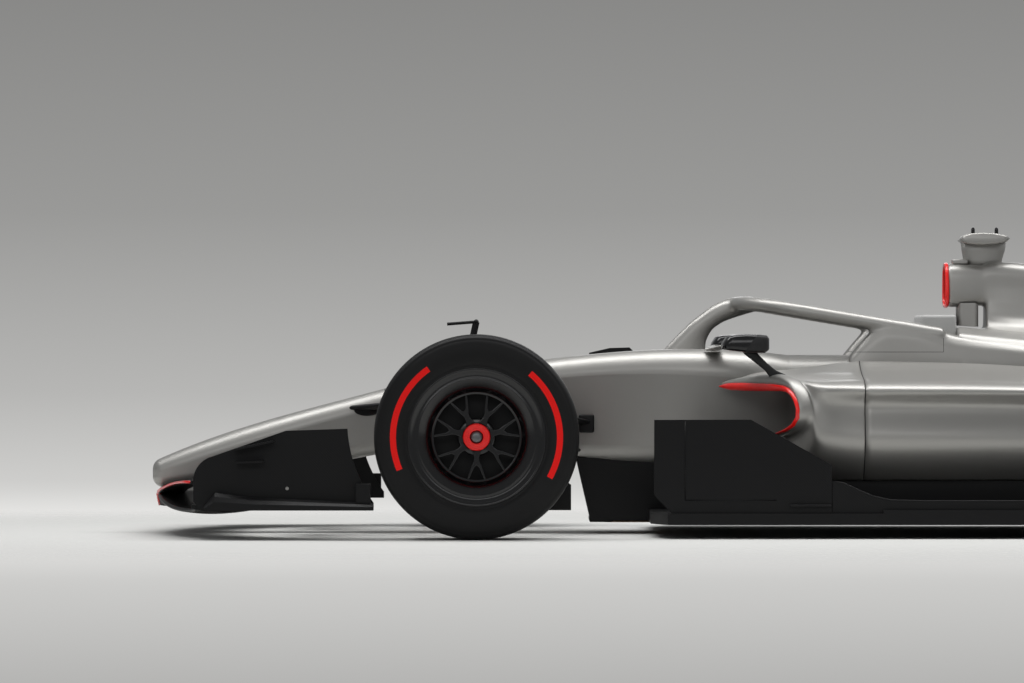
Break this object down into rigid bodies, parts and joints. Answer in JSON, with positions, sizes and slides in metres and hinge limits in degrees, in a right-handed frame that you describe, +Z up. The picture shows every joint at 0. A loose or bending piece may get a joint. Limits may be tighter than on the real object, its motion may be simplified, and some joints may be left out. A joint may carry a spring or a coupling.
{
  "type": "open wheel racing car",
  "caption": "Single-seat open wheel racing car with a halo over the cockpit, front and rear wings, sidepods, exposed wheels and linked steering.",
  "frame": {"origin": "on the ground under the middle of the car's length and width", "axes": "+X aft from the nose to the rear wing, +Y to the car's right, +Z up"},
  "size_m": [5.4, 1.9, 1.088],
  "materials": {
    "silver_paint": "satin metallic",
    "black_carbon": "satin carbon fibre",
    "wheel_black": "satin",
    "tyre_rubber": "matte",
    "padding": "matte",
    "plank_board": "matte laminate",
    "cast_alloy": "cast",
    "bare_steel": "brushed"
  },
  "bodies": {
    "chassis": {"survival_cell": "silver_paint", "nose_cone": "silver_paint", "front_wing_main_plane": "black_carbon", "front_wing_endplates": "black_carbon", "pitot_probe": "black_carbon", "halo": "silver_paint", "headrest": "silver_paint", "seat": "padding", "mirrors": "black_carbon", "sidepod_left": "silver_paint", "sidepod_right": "silver_paint", "engine_cover": "silver_paint", "roll_hoop": "silver_paint", "onboard_camera": "silver_paint", "floor": "black_carbon", "diffuser": "black_carbon", "plank": "plank_board", "keel": "black_carbon", "floor_boards": "black_carbon", "power_unit": "cast_alloy", "gearbox": "cast_alloy", "rear_impact_structure": "black_carbon", "exhaust_pipe": "bare_steel", "rear_wing_endplates": "black_carbon", "rear_wing_main_plane": "black_carbon", "rear_wing_pylon": "black_carbon", "front_wishbones": "black_carbon", "rear_wishbones": "black_carbon", "rear_upright_left": "black_carbon", "rear_upright_right": "black_carbon"},
    "front_hub_left": {"front_upright_left": "black_carbon"},
    "front_hub_right": {"front_upright_right": "black_carbon"},
    "front_wheel_left": {"front_wheel_left": "wheel_black", "front_tyre_left": "tyre_rubber"},
    "front_wheel_right": {"front_wheel_right": "wheel_black", "front_tyre_right": "tyre_rubber"},
    "rear_wheel_left": {"rear_wheel_left": "wheel_black", "rear_tyre_left": "tyre_rubber", "half_shaft_left": "bare_steel"},
    "rear_wheel_right": {"rear_wheel_right": "wheel_black", "rear_tyre_right": "tyre_rubber", "half_shaft_right": "bare_steel"},
    "steering_wheel": {"steering_wheel": "black_carbon"},
    "steering_rack": {"steering_rack": "bare_steel"},
    "rear_flap": {"rear_wing_flap": "black_carbon"},
    "front_flaps": {"front_wing_flaps": "black_carbon"}
  },
  "joints": [
    {"name": "steer_left", "type": "hinge", "parent": "chassis", "child": "front_hub_left", "pos_m": [-1.543, -0.7, 0.3525], "axis": [0, 0, 1], "range_deg": [-18, 18]},
    {"name": "steer_right", "type": "hinge", "parent": "chassis", "child": "front_hub_right", "pos_m": [-1.543, 0.7, 0.3525], "axis": [0, 0, 1], "range_deg": [-18, 18]},
    {"name": "rack_slide", "type": "slide", "parent": "chassis", "child": "steering_rack", "axis": [0, 1, 0], "range_m": [-0.0285, 0.0285]},
    {"name": "steering_wheel_turn", "type": "hinge", "parent": "chassis", "child": "steering_wheel", "pos_m": [-0.528, 0, 0.52], "axis": [0.9903, 0, 0.1392], "range_deg": [-180, 180]},
    {"name": "front_left_spin", "type": "hinge", "parent": "front_hub_left", "child": "front_wheel_left", "pos_m": [-1.543, -0.81, 0.3525], "axis": [0, 1, 0], "continuous": true},
    {"name": "front_right_spin", "type": "hinge", "parent": "front_hub_right", "child": "front_wheel_right", "pos_m": [-1.543, 0.81, 0.3525], "axis": [0, 1, 0], "continuous": true},
    {"name": "rear_left_spin", "type": "hinge", "parent": "chassis", "child": "rear_wheel_left", "pos_m": [1.857, -0.7625, 0.355], "axis": [0, 1, 0], "continuous": true},
    {"name": "rear_right_spin", "type": "hinge", "parent": "chassis", "child": "rear_wheel_right", "pos_m": [1.857, 0.7625, 0.355], "axis": [0, 1, 0], "continuous": true},
    {"name": "rear_flap_open", "type": "hinge", "parent": "chassis", "child": "rear_flap", "pos_m": [2.665, 0, 0.892], "axis": [0, 1, 0], "range_deg": [0, 22]},
    {"name": "front_flaps_tilt", "type": "hinge", "parent": "chassis", "child": "front_flaps", "pos_m": [-2.193, 0, 0.176], "axis": [0, 1, 0], "range_deg": [0, 25]}
  ],
  "couplings": [
    {"joint": "steer_right", "follows": "steer_left", "ratio": 1},
    {"joint": "rack_slide", "follows": "steer_left", "m_per_rad": -0.09},
    {"joint": "steering_wheel_turn", "follows": "steer_left", "ratio": 10}
  ]
}
